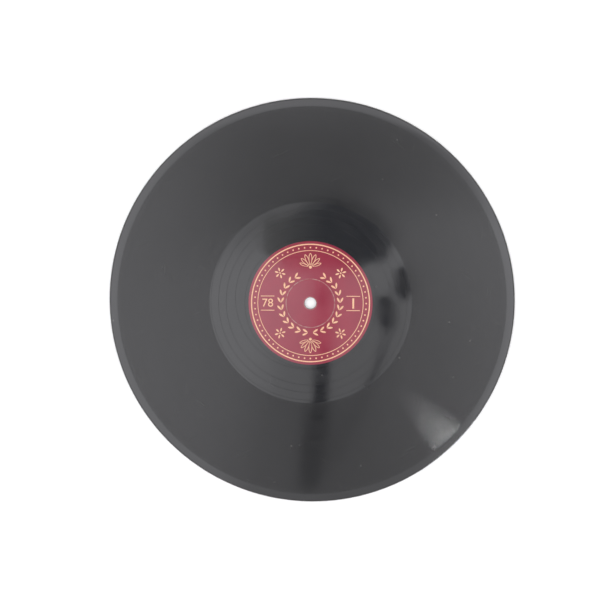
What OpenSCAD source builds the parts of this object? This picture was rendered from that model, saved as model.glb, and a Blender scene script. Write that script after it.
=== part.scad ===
// Ten-inch shellac record for 78 turns a minute: a pressed laminate with a paper label on each side.
// Origin: on the spindle axis, on the face of side B. +Z points up through side A.
// The music is drawn as closed turns at its real pitch. The lead-out that follows it is a true spiral.

/* [Disc] */
// Diameter of the disc
disc_d = 250; // [240:1:260]
// Thickness over both faces
disc_t = 2.2; // [2:0.05:2.6]
// Spindle hole
hole_d = 7.26; // [7:0.01:7.5]
// Radius of the rim's corners
rim_r = 0.75; // [0.5:0.05:0.9]
// Plain margin between the rim and the music
margin_w = 5.2; // [3.4:0.1:8]
// Border of the margin that falls towards the rim
edge_w = 2.2; // [1.6:0.1:3]
// How steeply that border falls, in degrees
edge_fall = 1.5; // [0.5:0.1:3]

/* [Layers] */
// Fine shellac facing, each side
facing_t = 0.45; // [0.4:0.01:0.5]
// Kraft paper ply, each side
paper_t = 0.12; // [0.08:0.01:0.16]
// Shellac between the paper's edge and the rim
paper_border = 2.5; // [2:0.1:6]
// Hole in the paper ply
paper_hole_d = 12; // [9:0.5:20]

/* [Label] */
// Diameter of the label's seat
seat_d = 76.6; // [70:0.2:80]
// Room between the label's edge and its seat
label_gap = 0.05; // [0.03:0.01:0.15]
// Label paper
label_t = 0.12; // [0.08:0.01:0.16]
// How far the label lies below the face
label_sink = 0.03; // [0.01:0.01:0.06]
// Room between the label's hole and the spindle hole
label_hole_gap = 0.12; // [0.05:0.01:0.3]
// Diameter of the press ring
ring_d = 30; // [24:0.5:40]
// Width of the press ring
ring_w = 0.6; // [0.4:0.05:1]
// Depth of the press ring
ring_depth = 0.1; // [0.05:0.01:0.12]

/* [Groove] */
// Width of the groove at the face
groove_w = 0.15; // [0.12:0.01:0.18]
// Depth of the groove
groove_depth = 0.07; // [0.05:0.005:0.08]
// From turn to turn of the music
music_pitch = 0.29; // [0.25:0.01:0.35]
// Where the music ends
music_inner_d = 124.4; // [116:0.2:136]
// From turn to turn of the lead-out
lead_out_pitch = 4.75; // [4:0.05:5.5]
// Where the lead-out leaves the music, in degrees from +X
lead_out_angle = 120; // [0:5:355]
// Least fall of the fast half turn that ends the lead-out
sweep_drop = 6; // [4:0.5:8]
// From the label's seat to the closed stop groove
stop_gap = 2.2; // [1.2:0.1:3]

/* [Hidden] */
$fn = 180;

disc_r = disc_d/2;
hole_r = hole_d/2;

// Heights of side A, from the face down
face_z = disc_t;
label_z = face_z - label_sink;
seat_z = label_z - label_t;
facing_z = face_z - facing_t;
ply_z = facing_z - paper_t;

// The rim's corner: a circle that the falling border touches
edge_r = disc_r - edge_w;
corner_r = disc_r - rim_r;
corner_z = face_z - (corner_r - edge_r)*tan(edge_fall) - rim_r/cos(edge_fall);
touch = [corner_r + rim_r*sin(edge_fall), corner_z + rim_r*cos(edge_fall)];

// The paper plies stop short of the hole and of the rim
ply_r0 = paper_hole_d/2;
ply_r1 = disc_r - paper_border;

// Radii along the groove, from the rim inwards
music_r0 = disc_r - margin_w;
turns = floor((music_r0 - music_inner_d/2)/music_pitch);
spiral_r = music_r0 - turns*music_pitch;
stop_r = seat_d/2 + stop_gap;
slow_turns = floor((spiral_r - stop_r - sweep_drop)/lead_out_pitch);
sweep_r = spiral_r - slow_turns*lead_out_pitch;

// How far a cutter stands above the face
over = 0.05;

// Turns a piece of side A over to side B
module flip() {
    translate([0, 0, disc_t])
        rotate([180, 0, 0])
            children();
}

// Section of the whole disc above its middle plane, with the falling border and the round corner
module half_section() {
    polygon([
        [hole_r, disc_t/2],
        [disc_r, disc_t/2],
        [disc_r, corner_z],
        [corner_r, corner_z],
        touch,
        [edge_r, face_z],
        [hole_r, face_z]
    ]);
    translate([corner_r, corner_z])
        intersection() {
            circle(rim_r);
            square(2*rim_r);
        }
}

module disc_section() {
    half_section();
    translate([0, disc_t])
        mirror([0, 1])
            half_section();
}

// A flat ring of section from z0 to z1, dented by the press ring
module label_section(r0, r1, z0, z1) {
    dent_r0 = (ring_d - ring_w)/2;
    dent_r1 = (ring_d + ring_w)/2;
    polygon([
        [r0, z0],
        [dent_r0, z0],
        [ring_d/2, z0 - ring_depth],
        [dent_r1, z0],
        [r1, z0],
        [r1, z1],
        [dent_r1, z1],
        [ring_d/2, z1 - ring_depth],
        [dent_r0, z1],
        [r0, z1]
    ]);
}

// The V of the groove at radius r, with its flanks carried on above the face
module groove_section(r) {
    reach = groove_w/2*(1 + over/groove_depth);
    polygon([
        [r, face_z - groove_depth],
        [r + reach, face_z + over],
        [r - reach, face_z + over]
    ]);
}

// Half a turn of spiral that falls from radius a to radius b, starting on the +X side, or on the -X side
module half_turn(a, b, side) {
    rotate([0, 0, side > 0 ? 0 : 180])
        translate([(a - b)/2, 0, 0])
            rotate_extrude(angle = 180)
                groove_section((a + b)/2);
}

module lead_out() {
    step = lead_out_pitch/2;
    rotate([0, 0, lead_out_angle]) {
        for (k = [0:2*slow_turns - 1])
            half_turn(spiral_r - k*step, spiral_r - (k + 1)*step, k % 2 == 0 ? 1 : -1);
        half_turn(sweep_r, stop_r, 1);
    }
}

// The facing fills the steps where the paper ply stops, and is cut by the label's seat and by every closed turn
module facing_section() {
    difference() {
        intersection() {
            half_section();
            union() {
                translate([0, facing_z]) square([disc_r, facing_t]);
                translate([0, ply_z]) square([ply_r0, facing_t]);
                translate([ply_r1, ply_z]) square([paper_border, facing_t]);
            }
        }
        label_section(0, seat_d/2, seat_z, face_z + 2*ring_depth);
        for (k = [0:turns - 1])
            groove_section(music_r0 - k*music_pitch);
        groove_section(stop_r);
    }
}

module core() {
    color("#4b443c")
        rotate_extrude()
            intersection() {
                disc_section();
                translate([0, disc_t - ply_z]) square([disc_r, 2*ply_z - disc_t]);
            }
}

module front_paper() {
    color("#a98a5c")
        rotate_extrude()
            translate([ply_r0, ply_z]) square([ply_r1 - ply_r0, paper_t]);
}

module back_paper() {
    flip() front_paper();
}

module front_facing() {
    color("#191613")
        difference() {
            rotate_extrude() facing_section();
            lead_out();
        }
}

module back_facing() {
    flip() front_facing();
}

module front_label() {
    color("#8c2442")
        rotate_extrude()
            label_section(hole_r + label_hole_gap, seat_d/2 - label_gap, seat_z, label_z);
}

module back_label() {
    flip() front_label();
}

core();
front_paper();
back_paper();
front_facing();
back_facing();
front_label();
back_label();
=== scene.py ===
import math

import bmesh
import bpy
from mathutils import Matrix, Vector


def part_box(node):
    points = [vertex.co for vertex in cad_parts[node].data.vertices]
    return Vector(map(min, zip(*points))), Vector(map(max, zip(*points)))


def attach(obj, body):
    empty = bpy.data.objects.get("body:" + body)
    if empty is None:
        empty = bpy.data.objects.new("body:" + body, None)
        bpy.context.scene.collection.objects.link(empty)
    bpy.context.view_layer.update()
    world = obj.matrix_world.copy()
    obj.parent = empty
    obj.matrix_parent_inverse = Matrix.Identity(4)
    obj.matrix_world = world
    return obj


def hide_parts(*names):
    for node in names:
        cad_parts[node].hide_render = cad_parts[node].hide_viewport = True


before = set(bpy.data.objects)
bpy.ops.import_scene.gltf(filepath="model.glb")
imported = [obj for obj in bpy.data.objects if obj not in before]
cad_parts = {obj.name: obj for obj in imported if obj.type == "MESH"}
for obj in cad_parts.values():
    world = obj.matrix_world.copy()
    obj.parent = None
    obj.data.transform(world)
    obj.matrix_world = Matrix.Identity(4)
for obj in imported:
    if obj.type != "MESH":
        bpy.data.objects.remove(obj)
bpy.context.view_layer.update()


# Core: the coarse stock in the middle of the disc, shellac filled with ground stone.
# It is pressed hot between the two faced papers, and shows as a dull band on the rim and in the hole.
MM = 0.001
SPIN_STEPS = 128
RIM_ARC_STEPS = 6
SEAM_WELD = 0.0001 * MM
core_low, core_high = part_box("core")
disc_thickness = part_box("front_facing")[1].z
disc_radius = core_high.x
hole_radius = 3.63 * MM
rim_radius = 0.75 * MM
edge_width = 2.2 * MM
edge_fall = math.radians(1.5)
edge_radius = disc_radius - edge_width
corner_radius = disc_radius - rim_radius
edge_drop = (edge_width - rim_radius) * math.tan(edge_fall)
corner_z = disc_thickness - edge_drop - rim_radius / math.cos(edge_fall)
seam_angle = math.asin((core_high.z - corner_z) / rim_radius)
shellac_crease = math.radians(30)


def rim_points(start_angle, end_angle):
    """Points of the rim's upper corner, at angles above the level of its centre."""
    points = []
    for i in range(RIM_ARC_STEPS + 1):
        angle = start_angle + (end_angle - start_angle) * i / RIM_ARC_STEPS
        radius = corner_radius + rim_radius * math.cos(angle)
        points.append((radius, corner_z + rim_radius * math.sin(angle)))
    return points


def spin_section(section, merge=True):
    """Turns a closed section of (radius, height) points once around the spindle axis.
    Each vertex keeps the number of the section point that it came from."""
    bm = bmesh.new()
    point = bm.verts.layers.int.new("section_point")
    ring = []
    for i, (radius, z) in enumerate(section):
        vertex = bm.verts.new((radius, 0, z))
        vertex[point] = i
        ring.append(vertex)
    edges = [bm.edges.new(pair) for pair in zip(ring, ring[1:] + ring[:1])]
    turned = bmesh.ops.spin(bm, geom=ring + edges, axis=(0, 0, 1), angle=2 * math.pi, steps=SPIN_STEPS,
                            use_merge=merge)
    return bm, point, turned["geom_last"]


def close_shell(bm):
    """Joins the seam of a spun shell and turns its faces outwards."""
    bmesh.ops.remove_doubles(bm, verts=bm.verts, dist=SEAM_WELD)
    bmesh.ops.recalc_face_normals(bm, faces=bm.faces)


def shade(bm, sharp_angle):
    """Smooth shading, with a crease at every edge that turns by the given angle or more."""
    for face in bm.faces:
        face.smooth = True
    for edge in bm.edges:
        edge.smooth = edge.calc_face_angle(0) < sharp_angle


def object_from(bm, name, material):
    """Makes an object of a finished bmesh, with its place in its mesh."""
    mesh = bpy.data.meshes.new(name)
    bm.to_mesh(mesh)
    bm.free()
    mesh.materials.append(material)
    made = bpy.data.objects.new(name, mesh)
    bpy.context.scene.collection.objects.link(made)
    return made


def piece_from(bm, name, material):
    """Makes a piece of the record of a finished bmesh."""
    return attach(object_from(bm, name, material), "root")


def new_material(name, roughness, colour):
    """A material with one Principled shader, even all over until nodes are led into it."""
    material = bpy.data.materials.new(name)
    material.use_nodes = True
    shader = material.node_tree.nodes["Principled BSDF"]
    shader.inputs["Base Color"].default_value = colour
    shader.inputs["Roughness"].default_value = roughness
    return material, shader


def add_node(material, kind, props=None, ins=None):
    """Adds a node, with its properties by name and its inputs by name or number.
    An input is a value or another node's output."""
    tree = material.node_tree
    node = tree.nodes.new("ShaderNode" + kind)
    for key, value in (props or {}).items():
        setattr(node, key, value)
    for key, value in (ins or {}).items():
        if isinstance(value, bpy.types.NodeSocket):
            tree.links.new(value, node.inputs[key])
        else:
            node.inputs[key].default_value = value
    return node


def feed(shader, name, source):
    """Leads a node's output into one of the shader's inputs."""
    shader.id_data.links.new(source, shader.inputs[name])


def object_coordinates(material):
    return add_node(material, "TexCoord").outputs["Object"]


def noise(material, vector, scale, detail=2.0, roughness=0.5):
    node = add_node(material, "TexNoise", ins={"Vector": vector, "Scale": scale, "Detail": detail,
                                               "Roughness": roughness})
    return node.outputs["Fac"]


def map_range(material, value, low, high, to_low, to_high, smooth=False):
    node = add_node(material, "MapRange", ins={0: value, 1: low, 2: high, 3: to_low, 4: to_high})
    node.interpolation_type = "SMOOTHSTEP" if smooth else "LINEAR"
    return node.outputs[0]


def math_node(material, operation, first, second=0.0):
    return add_node(material, "Math", props={"operation": operation}, ins={0: first, 1: second}).outputs[0]


def mix_colours(material, factor, first, second):
    node = add_node(material, "Mix", props={"data_type": "RGBA"}, ins={0: factor, 6: first, 7: second})
    return node.outputs[2]


def add_bump(material, shader, height, strength, distance):
    bump = add_node(material, "Bump", ins={"Height": height, "Strength": strength, "Distance": distance})
    feed(shader, "Normal", bump.outputs[0])


NOISE_SPREAD = (0.3, 0.7)
stock_dark = (0.030, 0.026, 0.022, 1)
stock_pale = (0.125, 0.110, 0.092, 1)
stock_roughness = (0.45, 0.7)
grain_scale = 2600
grain_spread = (0.35, 0.75)
grain_height = 0.02 * MM
fleck_scale = 700
core_stock, shader = new_material("core_stock", 0.6, stock_dark)
place = object_coordinates(core_stock)
grains = noise(core_stock, place, grain_scale, 3)
flecks = noise(core_stock, place, fleck_scale, 2)
grain_mix = math_node(core_stock, "MULTIPLY", map_range(core_stock, grains, *grain_spread, 0, 1),
                      map_range(core_stock, flecks, *NOISE_SPREAD, 0.3, 1))
feed(shader, "Base Color", mix_colours(core_stock, grain_mix, stock_dark, stock_pale))
feed(shader, "Roughness", map_range(core_stock, flecks, *NOISE_SPREAD, *stock_roughness))
add_bump(core_stock, shader, grains, 0.4, grain_height)

upper_rim = rim_points(seam_angle, 0)
lower_rim = [(radius, disc_thickness - z) for radius, z in reversed(upper_rim)]
core_section = [(hole_radius, core_low.z), (hole_radius, core_high.z)] + upper_rim + lower_rim
bm, _, _ = spin_section(core_section)
close_shell(bm)
shade(bm, shellac_crease)
core = piece_from(bm, "core_stock", core_stock)
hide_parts("core")


# Paper plies: brown kraft paper between the core and each facing, which stops the disc from shattering.
# They are laid in before the pressing and end short of the rim and the hole, so that none shows.
kraft_pale = (0.42, 0.29, 0.16, 1)
kraft_dark = (0.27, 0.18, 0.10, 1)
kraft_fibre_scale = 400
kraft_fibre_draw = (1, 6, 1)
kraft_fibre_height = 0.02 * MM
kraft, shader = new_material("kraft_paper", 0.85, kraft_pale)
place = object_coordinates(kraft)
drawn_out = add_node(kraft, "Mapping", ins={"Vector": place, "Scale": kraft_fibre_draw})
fibres = noise(kraft, drawn_out.outputs[0], kraft_fibre_scale, 4)
feed(shader, "Base Color", mix_colours(kraft, fibres, kraft_dark, kraft_pale))
add_bump(kraft, shader, fibres, 0.5, kraft_fibre_height)
for ply in ("front_paper", "back_paper"):
    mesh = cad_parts[ply].data
    mesh.materials.clear()
    mesh.materials.append(kraft)


# Facings: the fine black shellac of each playing side, pressed by a metal stamper that leaves the groove.
# One unbroken groove runs from the margin to the run-out, and sweeps in there to a closed stop groove.
# Each facing wraps the edges of its paper ply, and is fused to the core there and along the rim.
groove_width = 0.15 * MM
groove_depth = 0.07 * MM
half_sunk = disc_thickness - groove_depth / 2
margin_width = 5.2 * MM
music_pitch = 0.29 * MM
music_turns = 198
music_radius = disc_radius - margin_width
soft_cut = 0.10
phrase_rate = 0.37
passage_rate = 0.061
passage_start = 1
run_out_pitch = 4.75 * MM
run_out_turns = 3
run_out_angle = math.radians(120)
run_out_radius = music_radius - music_turns * music_pitch
sweep_radius = run_out_radius - run_out_turns * run_out_pitch
seat_radius = 38.3 * MM
seat_z = 2.05 * MM
stop_gap = 2.2 * MM
stop_radius = seat_radius + stop_gap
stop_lip = stop_radius + groove_width / 2
ring_radius = 15 * MM
ring_width = 0.6 * MM
ring_depth = 0.1 * MM
border_end_gap = 0.1 * MM
border_end = corner_radius - border_end_gap
border_end_z = disc_thickness - (border_end - edge_radius) * math.tan(edge_fall)
ply_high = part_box("front_paper")[1]
ply_hole = 6 * MM


def groove_path(turn):
    """Radius of the groove's middle, and how far it is opened, after so many turns of music.
    Soft passages of the music are cut a little narrower and shallower than loud ones."""
    softness = 0.5 + 0.5 * math.sin(phrase_rate * turn) * math.sin(passage_rate * turn + passage_start)
    opened = min(max(turn + 1, 0), 1)
    if turn <= music_turns:
        return music_radius - turn * music_pitch, opened * (1 - soft_cut * softness)
    run_out = turn - music_turns
    if run_out <= run_out_turns:
        return run_out_radius - run_out * run_out_pitch, opened
    swept = min(2 * (run_out - run_out_turns), 1)
    radius = sweep_radius + (stop_radius - sweep_radius) * (1 - math.cos(math.pi * swept)) / 2
    return max(radius, stop_lip), min(max(2 * (radius - stop_lip) / groove_width, 0), 1)


def groove_point(turn, side):
    """Radius and height of the groove's inner lip, bottom or outer lip: side is -1, 0 or 1."""
    middle, opened = groove_path(turn)
    depth = opened * groove_depth if side == 0 else 0
    return middle + side * opened * groove_width / 2, disc_thickness - depth


def press_ring(z):
    """Points of the ring that the press dents into the label and its seat."""
    inner = ring_radius - ring_width / 2
    outer = ring_radius + ring_width / 2
    return [(inner, z), (ring_radius, z - ring_depth), (outer, z)]


# The section runs from the hole out over the face, around the rim and back under the ply.
facing_section = [(hole_radius, core_high.z), (hole_radius, seat_z)] + press_ring(seat_z)
facing_section += [(seat_radius, seat_z), (seat_radius, disc_thickness)]
facing_section += [(stop_radius - groove_width / 2, disc_thickness)]
facing_section += [(stop_radius, disc_thickness - groove_depth), (stop_lip, disc_thickness)]
# Numbers of the points at the groove's bottom, and the turn and side of every point that follows the spiral.
bottoms = {len(facing_section) - 2}
groove_points = {}
for turn in range(music_turns + run_out_turns, -2, -1):
    bottoms.add(len(facing_section) + 1)
    for side in (-1, 0, 1):
        groove_points[len(facing_section)] = (turn, side)
        facing_section.append(groove_point(turn, side))
facing_section += [(music_radius + music_pitch, disc_thickness), (edge_radius, disc_thickness)]
facing_section += [(border_end, border_end_z)]
facing_section += rim_points(math.pi / 2 - edge_fall, seam_angle)
facing_section += [(ply_high.x, core_high.z), (ply_high.x, ply_high.z)]
facing_section += [(ply_hole, ply_high.z), (ply_hole, core_high.z)]


def facing_mesh():
    """The facing of side A: its section spun once, with each turn of the groove led on into the next."""
    bm, point, last_ring = spin_section(facing_section, merge=False)
    last_ring = set(last_ring)
    for vertex in bm.verts:
        step = round(math.atan2(vertex.co.y, vertex.co.x) / (2 * math.pi) * SPIN_STEPS) % SPIN_STEPS
        radius, z = facing_section[vertex[point]]
        if vertex[point] in groove_points:
            turn, side = groove_points[vertex[point]]
            radius, z = groove_point(turn + (1 if vertex in last_ring else step / SPIN_STEPS), side)
        angle = 2 * math.pi * step / SPIN_STEPS
        vertex.co = (radius * math.cos(angle), radius * math.sin(angle), z)
    close_shell(bm)
    shade(bm, shellac_crease)
    sunk = {vertex for vertex in bm.verts if vertex[point] in bottoms and vertex.co.z < half_sunk}
    for edge in bm.edges:
        edge.smooth = edge.smooth or sunk.issuperset(edge.verts)
    bmesh.ops.rotate(bm, verts=bm.verts, matrix=Matrix.Rotation(run_out_angle, 3, "Z"))
    return bm


def turn_over(bm):
    """Turns a piece of side A over to side B."""
    bmesh.ops.rotate(bm, verts=bm.verts, matrix=Matrix.Rotation(math.pi, 3, "X"))
    bmesh.ops.translate(bm, verts=bm.verts, vec=(0, 0, disc_thickness))


def flattened(material, vector):
    """The part of a vector that lies in the plane of the disc."""
    node = add_node(material, "VectorMath", props={"operation": "MULTIPLY"}, ins={0: vector, 1: (1, 1, 0)})
    return node.outputs[0]


def vector_length(material, vector):
    return add_node(material, "VectorMath", props={"operation": "LENGTH"}, ins={0: vector}).outputs["Value"]


black = (0.0078, 0.0077, 0.0078, 1)
haze = (0.0145, 0.0143, 0.0143, 1)
haze_spread = (0.3, 0.75)
outer_music_grey = (0.0140, 0.0138, 0.0138, 1)
dull_rim = (0.105, 0.103, 0.102, 1)
dust = (0.30, 0.29, 0.27, 1)
land_roughness = 0.055
music_roughness = 0.088
rim_roughness = 0.45
roughness_drift = (-0.01, 0.02)
zone_blend = 0.3 * MM
wear_cells = (5, 350)
turning_cells = (1.2, 2600)
smudge_scale = 22
wave_scale = 28
scuffs = ((0.4, 30 * MM), (1.5, 22 * MM), (2.5, 26 * MM))
scuff_width = 0.7 * MM
scuff_edge = (0.75, 0.81)
scuff_strength = 0.05
speck_scale = 90
speck_edge = (0.03, 0.05)
speck_share = (0.83, 0.90)
speck_strength = 0.25
turning_height_mm = 0.0022
wave_height_mm = 0.02
shellac, shader = new_material("black_shellac", 0.2, black)
shader.inputs["IOR"].default_value = 1.55
place = object_coordinates(shellac)
flat_place = flattened(shellac, place)
radius = vector_length(shellac, flat_place)
bearing = add_node(shellac, "VectorMath", props={"operation": "NORMALIZE"}, ins={0: flat_place})


def along_groove(around, across):
    """Coordinates that run with the groove: cells per radian around the disc, and per metre across it."""
    turned = add_node(shellac, "VectorMath", props={"operation": "SCALE"},
                      ins={0: bearing.outputs[0], "Scale": around})
    raised = add_node(shellac, "CombineXYZ", ins={"Z": math_node(shellac, "MULTIPLY", radius, across)})
    return add_node(shellac, "VectorMath", ins={0: turned.outputs[0], 1: raised.outputs[0]}).outputs[0]


in_music = math_node(shellac, "MULTIPLY",
                     map_range(shellac, radius, run_out_radius - zone_blend, run_out_radius, 0, 1),
                     map_range(shellac, radius, music_radius, music_radius + zone_blend, 1, 0))
at_rim = map_range(shellac, radius, corner_radius, corner_radius + zone_blend, 0, 1)
wear = noise(shellac, along_groove(*wear_cells), 1, 4)
turning_lines = noise(shellac, along_groove(*turning_cells), 1, 2)
smudges = noise(shellac, place, smudge_scale, 4)
waves = noise(shellac, place, wave_scale, 1)
hazed = math_node(shellac, "MULTIPLY", map_range(shellac, wear, *haze_spread, 0, 1),
                  map_range(shellac, smudges, *NOISE_SPREAD, 0.2, 1))
# The music's colour turns paler outwards, from the run-out to its outer edge.
paler_outwards = math_node(shellac, "MULTIPLY", in_music,
                   map_range(shellac, radius, run_out_radius, music_radius, 0, 1))
scuffed = 0
for turn, length in scuffs:
    stretched = add_node(shellac, "Mapping", props={"vector_type": "TEXTURE"},
                         ins={"Vector": place, "Rotation": (0, 0, turn), "Scale": (length, scuff_width, 1)})
    hairlines = noise(shellac, stretched.outputs[0], 1, 1)
    scratched = map_range(shellac, hairlines, *scuff_edge, 0, scuff_strength)
    scuffed = math_node(shellac, "ADD", scratched, scuffed)
specks = add_node(shellac, "TexVoronoi", props={"voronoi_dimensions": "2D"},
                  ins={"Vector": place, "Scale": speck_scale})
dusty = math_node(shellac, "MULTIPLY", map_range(shellac, specks.outputs["Distance"], *speck_edge, 1, 0),
                  map_range(shellac, specks.outputs["Color"], *speck_share, 0, speck_strength))
dulled = math_node(shellac, "MULTIPLY", at_rim, map_range(shellac, smudges, *NOISE_SPREAD, 0.5, 1))
colour = mix_colours(shellac, paler_outwards, mix_colours(shellac, hazed, black, haze), outer_music_grey)
colour = mix_colours(shellac, math_node(shellac, "MAXIMUM", dusty, scuffed), colour, dust)
feed(shader, "Base Color", mix_colours(shellac, dulled, colour, dull_rim))
roughness = map_range(shellac, in_music, 0, 1, land_roughness, music_roughness)
for pattern in (smudges, wear):
    roughness = math_node(shellac, "ADD", roughness,
                          map_range(shellac, pattern, *NOISE_SPREAD, *roughness_drift))
feed(shader, "Roughness", math_node(shellac, "MAXIMUM", roughness,
                                    math_node(shellac, "MULTIPLY", at_rim, rim_roughness)))
relief = math_node(shellac, "ADD", math_node(shellac, "MULTIPLY", turning_lines, turning_height_mm),
                   math_node(shellac, "MULTIPLY", waves, wave_height_mm))
add_bump(shellac, shader, relief, 1, MM)

front_mesh = facing_mesh()
back_mesh = front_mesh.copy()
turn_over(back_mesh)
for side, bm in (("front", front_mesh), ("back", back_mesh)):
    facing = piece_from(bm, side + "_shellac", shellac)
    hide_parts(side + "_facing")


# Labels: maroon paper, laid on the hot shellac and bonded by the press, which dents a ring into it.
# Each lies in its seat a hair below the playing face.
label_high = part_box("front_label")[1]
label_thickness = 0.12 * MM
label_bottom = label_high.z - label_thickness
label_hole_gap = 0.12 * MM
label_hole = hole_radius + label_hole_gap
label_crease = math.radians(12)
maroon = (0.225, 0.014, 0.035, 1)
faded_maroon = (0.296, 0.024, 0.049, 1)
bare_paper = (0.50, 0.34, 0.31, 1)
label_roughness = (0.07, 0.11)
label_fibre_scale = 2200
label_fibre_height = 0.012 * MM
blotch_scale = 60
blotch_spread = (0.3, 0.75)
rub_scale = 500
rub_spread = (0.35, 0.6)
hole_rub_edge = (label_hole + 0.1 * MM, label_hole + 0.7 * MM)
hole_rub_strength = 0.45
ring_rub_edge = (0.15 * MM, 0.38 * MM)
ring_rub_strength = 0.75
label_paper, shader = new_material("maroon_paper", 0.4, maroon)
shader.inputs["IOR"].default_value = 1.55
place = object_coordinates(label_paper)
fibres = noise(label_paper, place, label_fibre_scale, 5, 0.6)
blotches = noise(label_paper, place, blotch_scale, 3)
faded = math_node(label_paper, "MULTIPLY", map_range(label_paper, fibres, *NOISE_SPREAD, 0.2, 1),
                  map_range(label_paper, blotches, *blotch_spread, 0.1, 1))
radius = vector_length(label_paper, flattened(label_paper, place))
hole_rub = map_range(label_paper, radius, *hole_rub_edge, hole_rub_strength, 0)
off_ring = math_node(label_paper, "ABSOLUTE", math_node(label_paper, "SUBTRACT", radius, ring_radius))
ring_rub = map_range(label_paper, off_ring, *ring_rub_edge, ring_rub_strength, 0)
rubbed = math_node(label_paper, "MULTIPLY", math_node(label_paper, "MAXIMUM", hole_rub, ring_rub),
                   map_range(label_paper, noise(label_paper, place, rub_scale, 3), *rub_spread, 0.3, 1))
colour = mix_colours(label_paper, rubbed, mix_colours(label_paper, faded, maroon, faded_maroon), bare_paper)
feed(shader, "Base Color", colour)
feed(shader, "Roughness", map_range(label_paper, blotches, *NOISE_SPREAD, *label_roughness))
add_bump(label_paper, shader, fibres, 0.25, label_fibre_height)

label_section = [(label_hole, label_bottom)] + press_ring(label_bottom) + [(label_high.x, label_bottom)]
label_section += [(label_high.x, label_high.z)] + press_ring(label_high.z)[::-1]
label_section += [(label_hole, label_high.z)]
for side in ("front", "back"):
    bm, _, _ = spin_section(label_section)
    close_shell(bm)
    shade(bm, label_crease)
    if side == "back":
        turn_over(bm)
    label = piece_from(bm, side + "_label_paper", label_paper)
    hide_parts(side + "_label")


# Print: peach-gold ink on each label: rings and beads, palmettes, a wreath, rosettes, the speed in turns a
# minute, and the side as one stroke or two.
# It is a film a hundredth of a millimetre thick, printed before the label is pressed in.
ink_thickness = 0.014 * MM
ink_sunk = 0.004 * MM
ink_weld = 0.001 * MM
border_rings = ((36.0 * MM, 36.7 * MM), (32.3 * MM, 32.7 * MM))
bead_circle = 34.35 * MM
bead_radius = 0.5 * MM
bead_count = 60
bead_segments = 10
leaf_segments = 24
leaf_line = 0.40 * MM
leaf_ends = 2.4
palmette_place = 22.3 * MM
palmette_leaves = 7
palmette_spread = math.radians(140)
palmette_leaf = (7.4 * MM, 2.4 * MM)
palmette_side_leaf = 0.68
palmette_foot = 1.3 * MM
palmette_bead = 0.9 * MM
laurel_circle = 18.3 * MM
laurel_pairs = 11
laurel_foot = math.radians(-90)
laurel_reach = math.radians(158)
laurel_start = 0.3
laurel_leaf = (3.6 * MM, 1.3 * MM)
laurel_leans = (-0.5, 0.5)
laurel_parting = 0.25 * MM
rosette_place = 26.4 * MM
rosette_leaves = 6
rosette_leaf = (2.5 * MM, 1.1 * MM)
rosette_foot = 0.9 * MM
rosette_bead = 0.5 * MM
numeral_height = 7.2 * MM
numeral_place = 26.4 * MM
rule_length = 8.4 * MM
rule_height = 0.42 * MM
rule_places = (-4.4 * MM, 4.4 * MM)
stroke_width = 1.1 * MM
stroke_height = 6.4 * MM
stroke_step = 2.4 * MM


def loop_edges(verts):
    """The edges at the given vertices, each once and always in the same order."""
    return list(dict.fromkeys(edge for vertex in verts for edge in vertex.link_edges))


def turned_out(angle, x, y):
    """A place at x and y from the origin of a drawing that is turned by the angle."""
    return Matrix.Rotation(angle, 4, "Z") @ Matrix.Translation((x, y, 0))


def ink_ring(bm, inner, outer):
    """A flat printed ring between two radii."""
    edges = []
    for radius in (inner, outer):
        edges += loop_edges(bmesh.ops.create_circle(bm, radius=radius, segments=SPIN_STEPS)["verts"])
    bmesh.ops.bridge_loops(bm, edges=edges)


def ink_dot(bm, place, radius, segments=bead_segments):
    """A printed bead in the middle of its place."""
    bmesh.ops.create_circle(bm, cap_ends=True, radius=radius, segments=segments,
                            matrix=Matrix.Translation(place.translation))


def leaf_swell(along):
    """How far a leaf swells at a share of its length: narrow at the foot and fullest towards the tip."""
    return 1.25 * (0.35 + along) * (1.08 - along) ** 0.35


def leaf_loop(bm, length, width, inset, place):
    """The edge of a leaf, drawn in by the inset, with its foot at the origin of its place."""
    verts = bmesh.ops.create_circle(bm, radius=1, segments=leaf_segments)["verts"]
    for vertex in verts:
        along = (vertex.co.y + 1) / 2
        x = vertex.co.x * (width / 2 - inset) * leaf_swell(along)
        vertex.co = (x, inset + along * (length - leaf_ends * inset), 0)
    bmesh.ops.transform(bm, verts=verts, matrix=place)
    return verts


def ink_leaf(bm, size, place, line=None):
    """A printed leaf, full or as an outline of the given line."""
    outer = loop_edges(leaf_loop(bm, *size, 0, place))
    if line:
        bmesh.ops.bridge_loops(bm, edges=outer + loop_edges(leaf_loop(bm, *size, line, place)))
    else:
        bmesh.ops.contextual_create(bm, geom=outer)


def ink_palmette(bm, turn):
    """A fan of outlined leaves, smaller towards its sides, with a bead at its foot."""
    whole = turned_out(turn, 0, palmette_place)
    for i in range(palmette_leaves):
        lean = (i / (palmette_leaves - 1) - 0.5) * palmette_spread
        shrink = palmette_side_leaf + (1 - palmette_side_leaf) * math.cos(lean)
        size = [shrink * side for side in palmette_leaf]
        ink_leaf(bm, size, whole @ turned_out(-lean, 0, palmette_foot), leaf_line)
    ink_dot(bm, whole, palmette_bead, 2 * bead_segments)


def ink_laurel(bm, hand):
    """One branch of the wreath around the press ring, from its foot almost to the top: hand is 1 or -1."""
    along_branch = 0 if hand > 0 else math.pi
    for i in range(laurel_pairs):
        bearing = laurel_foot + hand * laurel_reach * (i + laurel_start) / laurel_pairs
        branch = turned_out(bearing, laurel_circle, 0)
        for lean in laurel_leans:
            ink_leaf(bm, laurel_leaf, branch @ turned_out(along_branch + lean, 0, laurel_parting))


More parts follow.
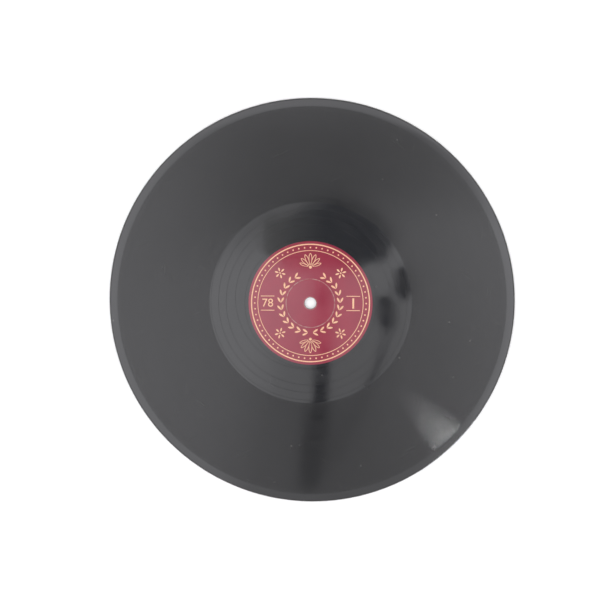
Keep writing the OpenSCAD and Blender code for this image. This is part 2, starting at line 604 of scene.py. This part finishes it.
def ink_rosette(bm, bearing):
    """A small flower of full leaves around a bead."""
    whole = turned_out(bearing, rosette_place, 0)
    for i in range(rosette_leaves):
        petal = turned_out(2 * math.pi * i / rosette_leaves, 0, rosette_foot)
        ink_leaf(bm, rosette_leaf, whole @ petal)
    ink_dot(bm, whole, rosette_bead)


def ink_bar(bm, x, y, width, height):
    """A printed bar around its middle."""
    bar = Matrix.Translation((x, y, 0)) @ Matrix.Diagonal((width, height, 1, 1))
    bmesh.ops.create_grid(bm, x_segments=1, y_segments=1, size=0.5, matrix=bar)


def ink_numeral(bm, text, x, y):
    """A plain numeral, made a mesh before it is put in its place."""
    curve = bpy.data.curves.new("numeral", "FONT")
    curve.body = text
    curve.size = numeral_height
    curve.align_x = "CENTER"
    curve.align_y = "CENTER"
    holder = bpy.data.objects.new("numeral", curve)
    bpy.context.scene.collection.objects.link(holder)
    bpy.context.view_layer.update()
    flat = bpy.data.meshes.new_from_object(holder.evaluated_get(bpy.context.evaluated_depsgraph_get()))
    bpy.data.objects.remove(holder)
    flat.transform(Matrix.Translation((x, y, 0)))
    bm.from_mesh(flat)
    bpy.data.meshes.remove(flat)


gold = (0.79, 0.475, 0.290, 1)
worn_gold = (0.60, 0.31, 0.19, 1)
gold_roughness = (0.38, 0.52)
mottle_scale = 1500
mottle_spread = (0.4, 0.75)
mottle_height = 0.008 * MM
patch_scale = 150
patch_spread = (0.35, 0.7)
gold_ink, shader = new_material("peach_gold_ink", 0.45, gold)
place = object_coordinates(gold_ink)
mottle = noise(gold_ink, place, mottle_scale, 4)
patches = noise(gold_ink, place, patch_scale, 3)
worn = math_node(gold_ink, "MULTIPLY", map_range(gold_ink, mottle, *mottle_spread, 0, 1),
                 map_range(gold_ink, patches, *patch_spread, 0.15, 1))
feed(shader, "Base Color", mix_colours(gold_ink, worn, gold, worn_gold))
feed(shader, "Roughness", map_range(gold_ink, patches, *NOISE_SPREAD, *gold_roughness))
add_bump(gold_ink, shader, mottle, 0.5, mottle_height)

for side, strokes in (("front", 1), ("back", 2)):
    bm = bmesh.new()
    for inner, outer in border_rings:
        ink_ring(bm, inner, outer)
    for i in range(bead_count):
        ink_dot(bm, turned_out(2 * math.pi * i / bead_count, bead_circle, 0), bead_radius)
    for turn in (0, math.pi):
        ink_palmette(bm, turn)
    for hand in (1, -1):
        ink_laurel(bm, hand)
    for quarter in range(4):
        ink_rosette(bm, math.pi / 4 + quarter * math.pi / 2)
    ink_numeral(bm, "78", -numeral_place, 0)
    for i in range(strokes):
        ink_bar(bm, numeral_place + stroke_step * (i - (strokes - 1) / 2), 0, stroke_width, stroke_height)
    for x in (-numeral_place, numeral_place):
        for y in rule_places:
            ink_bar(bm, x, y, rule_length, rule_height)
    bmesh.ops.remove_doubles(bm, verts=bm.verts, dist=ink_weld)
    bmesh.ops.translate(bm, verts=bm.verts, vec=(0, 0, label_high.z - ink_sunk))
    raised = bmesh.ops.extrude_face_region(bm, geom=bm.faces, use_keep_orig=True)["geom"]
    bmesh.ops.translate(bm, verts=[part for part in raised if isinstance(part, bmesh.types.BMVert)],
                        vec=(0, 0, ink_thickness))
    bmesh.ops.recalc_face_normals(bm, faces=bm.faces)
    if side == "back":
        turn_over(bm)
    label_print = piece_from(bm, side + "_label_print", gold_ink)


# Floor: a plain white table top of painted board, which isn't part of the record. Side B lies flat on it.
# A ring of white paper stands around it, as a backdrop for low views that throws no light or reflection.
floor_half = 3
floor_drop = 0.02 * MM
floor_white = (0.96, 0.96, 0.955, 1)
backdrop_radius = 0.95 * floor_half
backdrop_height = 4
backdrop_segments = 64
backdrop_glow = (1.05, 1.05, 1.05, 1)
no_colour = (0, 0, 0, 1)


def matt_material(name, roughness, colour):
    """A material without any gloss."""
    material, shader = new_material(name, roughness, colour)
    shader.inputs["Specular IOR Level"].default_value = 0
    return material, shader


def stage_piece(bm, name, material):
    """Makes a thing of the studio of a finished bmesh."""
    thing = object_from(bm, name, material)
    return thing


floor_paint, _ = matt_material("white_table", 0.6, floor_white)
backdrop_paper, shader = matt_material("white_backdrop", 0.9, no_colour)
shader.inputs["Emission Color"].default_value = backdrop_glow
shader.inputs["Emission Strength"].default_value = 1
bm = bmesh.new()
bmesh.ops.create_grid(bm, x_segments=1, y_segments=1, size=floor_half,
                      matrix=Matrix.Translation((0, 0, -floor_drop)))
stage_piece(bm, "table_top", floor_paint)
bm = bmesh.new()
bmesh.ops.create_cone(bm, segments=backdrop_segments, radius1=backdrop_radius, radius2=backdrop_radius,
                      depth=backdrop_height)
backdrop = stage_piece(bm, "backdrop", backdrop_paper)
backdrop.visible_glossy = False
backdrop.visible_diffuse = False
backdrop.visible_shadow = False


# Camera: held almost straight above the record, a few degrees towards its top right.
# It is levelled on the label's upright, and the whole disc is in the frame.
scene = bpy.context.scene
scene.view_settings.view_transform = "Standard"
camera_place = Vector((0.026, 0.0657, 0.6742))
camera_target = Vector((-0.0064, 0.0020, disc_thickness))
label_upright = Vector((0, 1, 0))
lens = bpy.data.cameras.new("overhead_camera")
lens.sensor_width = 36
lens.lens = 65.8
camera = bpy.data.objects.new("overhead_camera", lens)
backward = (camera_place - camera_target).normalized()
rightward = label_upright.cross(backward).normalized()
upward = backward.cross(rightward)
turned = Matrix((rightward, upward, backward)).transposed()
camera.matrix_world = Matrix.Translation(camera_place) @ turned.to_4x4()
scene.collection.objects.link(camera)
scene.camera = camera


# Light: a white room, paler to the left and right, with a bright patch of ceiling that the faces mirror.
# A wide fill, which nothing mirrors, lights the table and the labels evenly, and a small low lamp, which
# only gloss shows, draws a fan in the groove.
room_tint = (0.985, 0.985, 1.03, 1)
wall_light = 0.10
side_wall_light = 0.48
# Places in the room are the level part of a direction of length 1. A pair is where a slope starts and ends.
wall_slope = (0.25, 0.7)
patch_middle = (-0.038, -0.0975, 0)
patch_edge = (0.26, 0.34)
ceiling_light = 2.26
near_end_light = 0.82
near_end_slope = (-0.30, -0.18)
ceiling_sides = 0.80
ceiling_sides_slope = (0, 0.32)
right_light = 0.40
right_slope = (0.05, 0.15)
back_shade = 0.42
back_shade_far = (0.065, 0.085)
back_shade_near = (-0.03, 0.01)
back_shade_sides = (0.08, 0.22)
back_lean = 0.35
front_shade = 0.285
front_shade_far = (-0.15, -0.01)
front_shade_left = (-0.085, -0.03)
front_shade_right = (0.06, 0.24)
front_lean = 0.34
front_lean_start = 0.097
room = bpy.data.worlds.new("white_room")
room.use_nodes = True
direction = flattened(room, add_node(room, "TexCoord").outputs["Generated"])
along = add_node(room, "SeparateXYZ", ins={0: direction}).outputs
off_side = math_node(room, "ABSOLUTE", along["X"])
# Two soft shades on the ceiling, one behind the record and one in front of it.
lean_back = math_node(room, "MULTIPLY", math_node(room, "MINIMUM", along["X"], 0), back_lean)
off_lean = math_node(room, "SUBTRACT", along["Y"], lean_back)
behind = math_node(room, "MULTIPLY", map_range(room, along["Y"], *back_shade_far, back_shade, 0, True),
                   map_range(room, off_lean, *back_shade_near, 0, 1, True))
behind = math_node(room, "MULTIPLY", behind, map_range(room, off_side, *back_shade_sides, 1, 0, True))
lean_front = math_node(room, "MULTIPLY", math_node(room, "ADD", along["Y"], front_lean_start), front_lean)
off_lean = math_node(room, "SUBTRACT", along["X"], lean_front)
in_front = math_node(room, "MULTIPLY", map_range(room, along["Y"], *front_shade_far, front_shade, 0, True),
                     map_range(room, off_lean, *front_shade_left, 0, 1, True))
in_front = math_node(room, "MULTIPLY", in_front, map_range(room, along["X"], *front_shade_right, 1, 0, True))
shaded = math_node(room, "ADD", behind, in_front)
falling = map_range(room, along["Y"], *near_end_slope, near_end_light, 1, True)
ceiling = math_node(room, "MULTIPLY", math_node(room, "MULTIPLY", falling, ceiling_light),
                    math_node(room, "SUBTRACT", 1, shaded))
ceiling = math_node(room, "ADD", ceiling, map_range(room, off_side, *ceiling_sides_slope, 0, ceiling_sides))
ceiling = math_node(room, "ADD", ceiling, map_range(room, along["X"], *right_slope, 0, right_light, True))
walls = map_range(room, off_side, *wall_slope, wall_light, side_wall_light)
off_patch = add_node(room, "VectorMath", props={"operation": "DISTANCE"},
                     ins={0: direction, 1: patch_middle})
in_patch = map_range(room, off_patch.outputs["Value"], *patch_edge, 1, 0, True)
background = room.node_tree.nodes["Background"]
background.inputs["Color"].default_value = room_tint
feed(background, "Strength", add_node(room, "Mix", ins={0: in_patch, 2: walls, 3: ceiling}).outputs[0])
scene.world = room


def soft_light(name, shape, size, place, aim, radiance):
    """A soft box of the given width, height and radiance, turned to the point that it is aimed at."""
    light = bpy.data.lights.new(name, "AREA")
    light.shape = shape
    light.size, light.size_y = size
    light.energy = radiance * math.pi * size[0] * size[1]
    box = bpy.data.objects.new(name, light)
    beam = Vector(aim) - Vector(place)
    box.matrix_world = Matrix.Translation(place) @ beam.to_track_quat("-Z", "Y").to_matrix().to_4x4()
    scene.collection.objects.link(box)
    return box


fill_size = (6, 6)
fill_place = (0, 0, 1.5)
fill_aim = (0, 0, 0)
fill_radiance = 0.95
fan_lamp_size = (0.046, 0.024)
fan_lamp_place = (0.1463, -0.1614, 0.0755)
fan_lamp_aim = (0.087, -0.0872, 0)
fan_lamp_radiance = 1.22
fan_lamp_spread = math.radians(16)
fill = soft_light("table_fill", "RECTANGLE", fill_size, fill_place, fill_aim, fill_radiance)
fill.visible_glossy = False
fan_lamp = soft_light("fan_lamp", "ELLIPSE", fan_lamp_size, fan_lamp_place, fan_lamp_aim,
                      fan_lamp_radiance)
fan_lamp.data.spread = fan_lamp_spread
fan_lamp.visible_camera = False
fan_lamp.visible_diffuse = False


# Flags: matt boards, one grey and the rest black, which show only as soft dark shapes in the gloss.
# Each hangs level with the camera, and is drawn where the record mirrors it, in millimetres from its hole.
flag_grey = (0.28, 0.30, 0.36, 1)
flag_grey_lit = (0.98, 0.98, 0.98, 1)
flag_lit_end = (-0.078, -0.008)
flag_black = (0.14, 0.15, 0.20, 1)
matt_grey, shader = matt_material("matt_grey", 0.9, flag_grey)
across = add_node(matt_grey, "SeparateXYZ", ins={0: object_coordinates(matt_grey)}).outputs["X"]
lit_end = map_range(matt_grey, across, *flag_lit_end, 1, 0)
feed(shader, "Base Color", mix_colours(matt_grey, lit_end, flag_grey, flag_grey_lit))
matt_black, _ = matt_material("matt_black", 0.9, flag_black)
flag_outlines = {
    "upper_flag": [(-14, 20), (-30, 33), (-28, 52), (-12, 54), (-2, 61), (16, 66),
                   (41, 55), (52, 41), (46, 26), (36, 25), (27, 20)],
    "lower_flag": [(3, 16), (2, -60), (-3, -68), (-8, -117), (5, -117), (12, -72), (11, -60), (13, 16)],
    "right_flag": [(52, 20), (57, 24), (62, 20), (63, 8), (58, 1), (52, 7)],
    "near_right_flag": [(41, 4), (48, 5), (52, 0), (52, -14), (47, -19), (42, -11)],
    "slanted_flag": [(47, -15), (40, -40), (24, -72), (13, -98), (16, -99), (27, -72), (43, -40), (50, -15)],
}
for name, outline in flag_outlines.items():
    bm = bmesh.new()
    corners = []
    for x, y in outline:
        corner = (2 * x * MM - camera_place.x, 2 * y * MM - camera_place.y, camera_place.z)
        corners.append(bm.verts.new(corner))
    bm.faces.new(corners)
    flag = stage_piece(bm, name, matt_grey if name == "upper_flag" else matt_black)
    flag.visible_camera = False
    flag.visible_diffuse = False
    flag.visible_shadow = False
